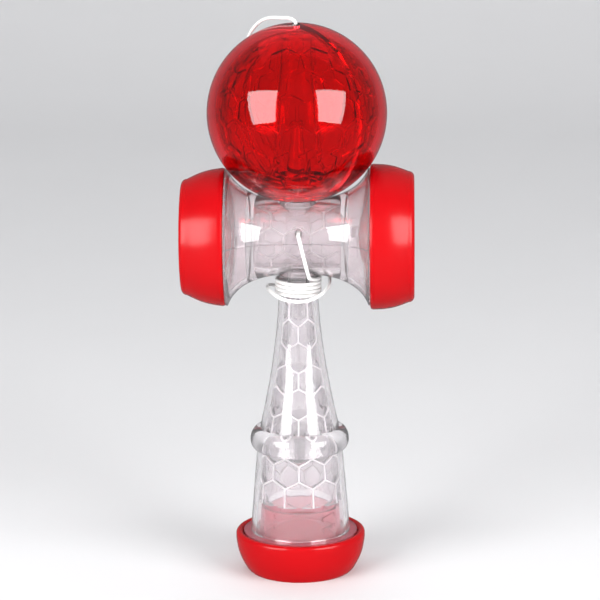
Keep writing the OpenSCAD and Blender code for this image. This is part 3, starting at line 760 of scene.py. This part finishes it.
class KENDAMA_OT_stage(bpy.types.Operator):
    """Sets up the pale floor and the soft lights"""

    bl_idname = "kendama.stage"
    bl_label = "Set up studio"

    # The floor's width, its front and back edges, the backdrop's top and the bend between them
    width = 6
    front = -4
    back = 1.6
    top = 3
    sweep = 0.8

    # Share of the way to the back at which the room has its full light, and how often light may bounce
    full_back = 0.8
    bounces = 32

    def execute(self, context):
        scene = context.scene
        self.floor(scene.kendama_colours.floor)
        self.lights(scene.kendama_studio)
        scene.world = self.room(scene.kendama_studio, scene.kendama_colours.room)
        scene.view_settings.view_transform = "Standard"
        scene.cycles.max_bounces = self.bounces
        scene.cycles.transmission_bounces = self.bounces
        return {"FINISHED"}

    def lights(self, studio):
        """Two softboxes beside the camera, a light overhead and one behind the camera."""
        middle = Vector(studio.middle)
        for side in (-1, 1):
            turn = studio.turn + side * studio.box_turn
            place = middle + from_angles(turn, studio.box_rise) * studio.box_away
            target = place - from_angles(turn, studio.box_rise + studio.box_tilt)
            roll = -side * studio.box_roll
            add_light(f"softbox_{side}", place, target, studio.box_size, studio.box_power, roll)
        high = Vector(studio.sky_place)
        below = Vector((high.x, high.y, 0))
        sky = add_light("overhead", high, below, studio.sky_size, studio.sky_power)
        fill = add_light("fill", Vector(studio.fill_place), middle, studio.fill_size, studio.fill_power)
        # Only the two softboxes show as reflections
        for light in (sky, fill):
            light.visible_glossy = False

    def room(self, studio, tint):
        """A room that is dim in front and brighter behind the kendama."""
        world = bpy.data.worlds.new("room")
        world.use_nodes = True
        nodes, links = world.node_tree.nodes, world.node_tree.links
        way = nodes.new("ShaderNodeTexCoord")
        split = nodes.new("ShaderNodeSeparateXYZ")
        rise = nodes.new("ShaderNodeMapRange")
        rise.inputs["From Min"].default_value = 0
        rise.inputs["From Max"].default_value = self.full_back
        rise.inputs["To Min"].default_value = studio.room
        rise.inputs["To Max"].default_value = studio.room_back
        links.new(way.outputs["Generated"], split.inputs["Vector"])
        links.new(split.outputs["Y"], rise.inputs["Value"])
        links.new(rise.outputs["Result"], nodes["Background"].inputs["Strength"])
        nodes["Background"].inputs["Color"].default_value = (*tint, 1)
        return world

    def floor(self, tint):
        """A sheet of paper that lies under the kendama and sweeps up behind it."""
        work = bmesh.new()
        outline = ((self.front, 0), (self.back, 0), (self.back, self.top))
        line = [work.verts.new((-self.width / 2, y, z)) for y, z in outline]
        edges = [work.edges.new(pair) for pair in zip(line, line[1:])]
        made = bmesh.ops.extrude_edge_only(work, edges=edges)["geom"]
        far = [part for part in made if isinstance(part, bmesh.types.BMVert)]
        bmesh.ops.translate(work, verts=far, vec=(self.width, 0, 0))
        fold = [edge for edge in work.edges if len(edge.link_faces) == 2]
        bmesh.ops.bevel(
            work, geom=fold, offset=self.sweep, offset_type="OFFSET", segments=24, profile=0.5,
            affect="EDGES", material=-1,
        )
        for face in work.faces:
            face.smooth = True
        bmesh.ops.recalc_face_normals(work, faces=work.faces)
        mesh = bpy.data.meshes.new("floor")
        work.to_mesh(mesh)
        work.free()
        sheet = add_piece("floor", mesh, floor_finish("pale_paper", tint))
        sheet.visible_glossy = False


class KENDAMA_PT_panel(bpy.types.Panel):
    """Lists the steps that dress the kendama"""

    bl_idname = "KENDAMA_PT_panel"
    bl_label = "Kendama"
    bl_space_type = "VIEW_3D"
    bl_region_type = "UI"
    bl_category = "Kendama"

    def draw(self, context):
        for step in STEPS:
            self.layout.operator(step.bl_idname)


STEPS = (
    KENDAMA_OT_camera,
    KENDAMA_OT_cord,
    KENDAMA_OT_clear_pieces,
    KENDAMA_OT_cups,
    KENDAMA_OT_ball,
    KENDAMA_OT_stage,
)
GROUPS = {
    "kendama_colours": KendamaColours,
    "kendama_cord": KendamaCord,
    "kendama_net": KendamaNet,
    "kendama_studio": KendamaStudio,
}


def register():
    for part in (*GROUPS.values(), *STEPS, KENDAMA_PT_panel):
        bpy.utils.register_class(part)
    for name, group in GROUPS.items():
        setattr(bpy.types.Scene, name, PointerProperty(type=group))


def unregister():
    for name in GROUPS:
        delattr(bpy.types.Scene, name)
    for part in (KENDAMA_PT_panel, *reversed(STEPS), *GROUPS.values()):
        bpy.utils.unregister_class(part)


def main():
    register()
    for step in STEPS:
        group, name = step.bl_idname.split(".")
        getattr(getattr(bpy.ops, group), name)()


if __name__ == "__main__":
    main()
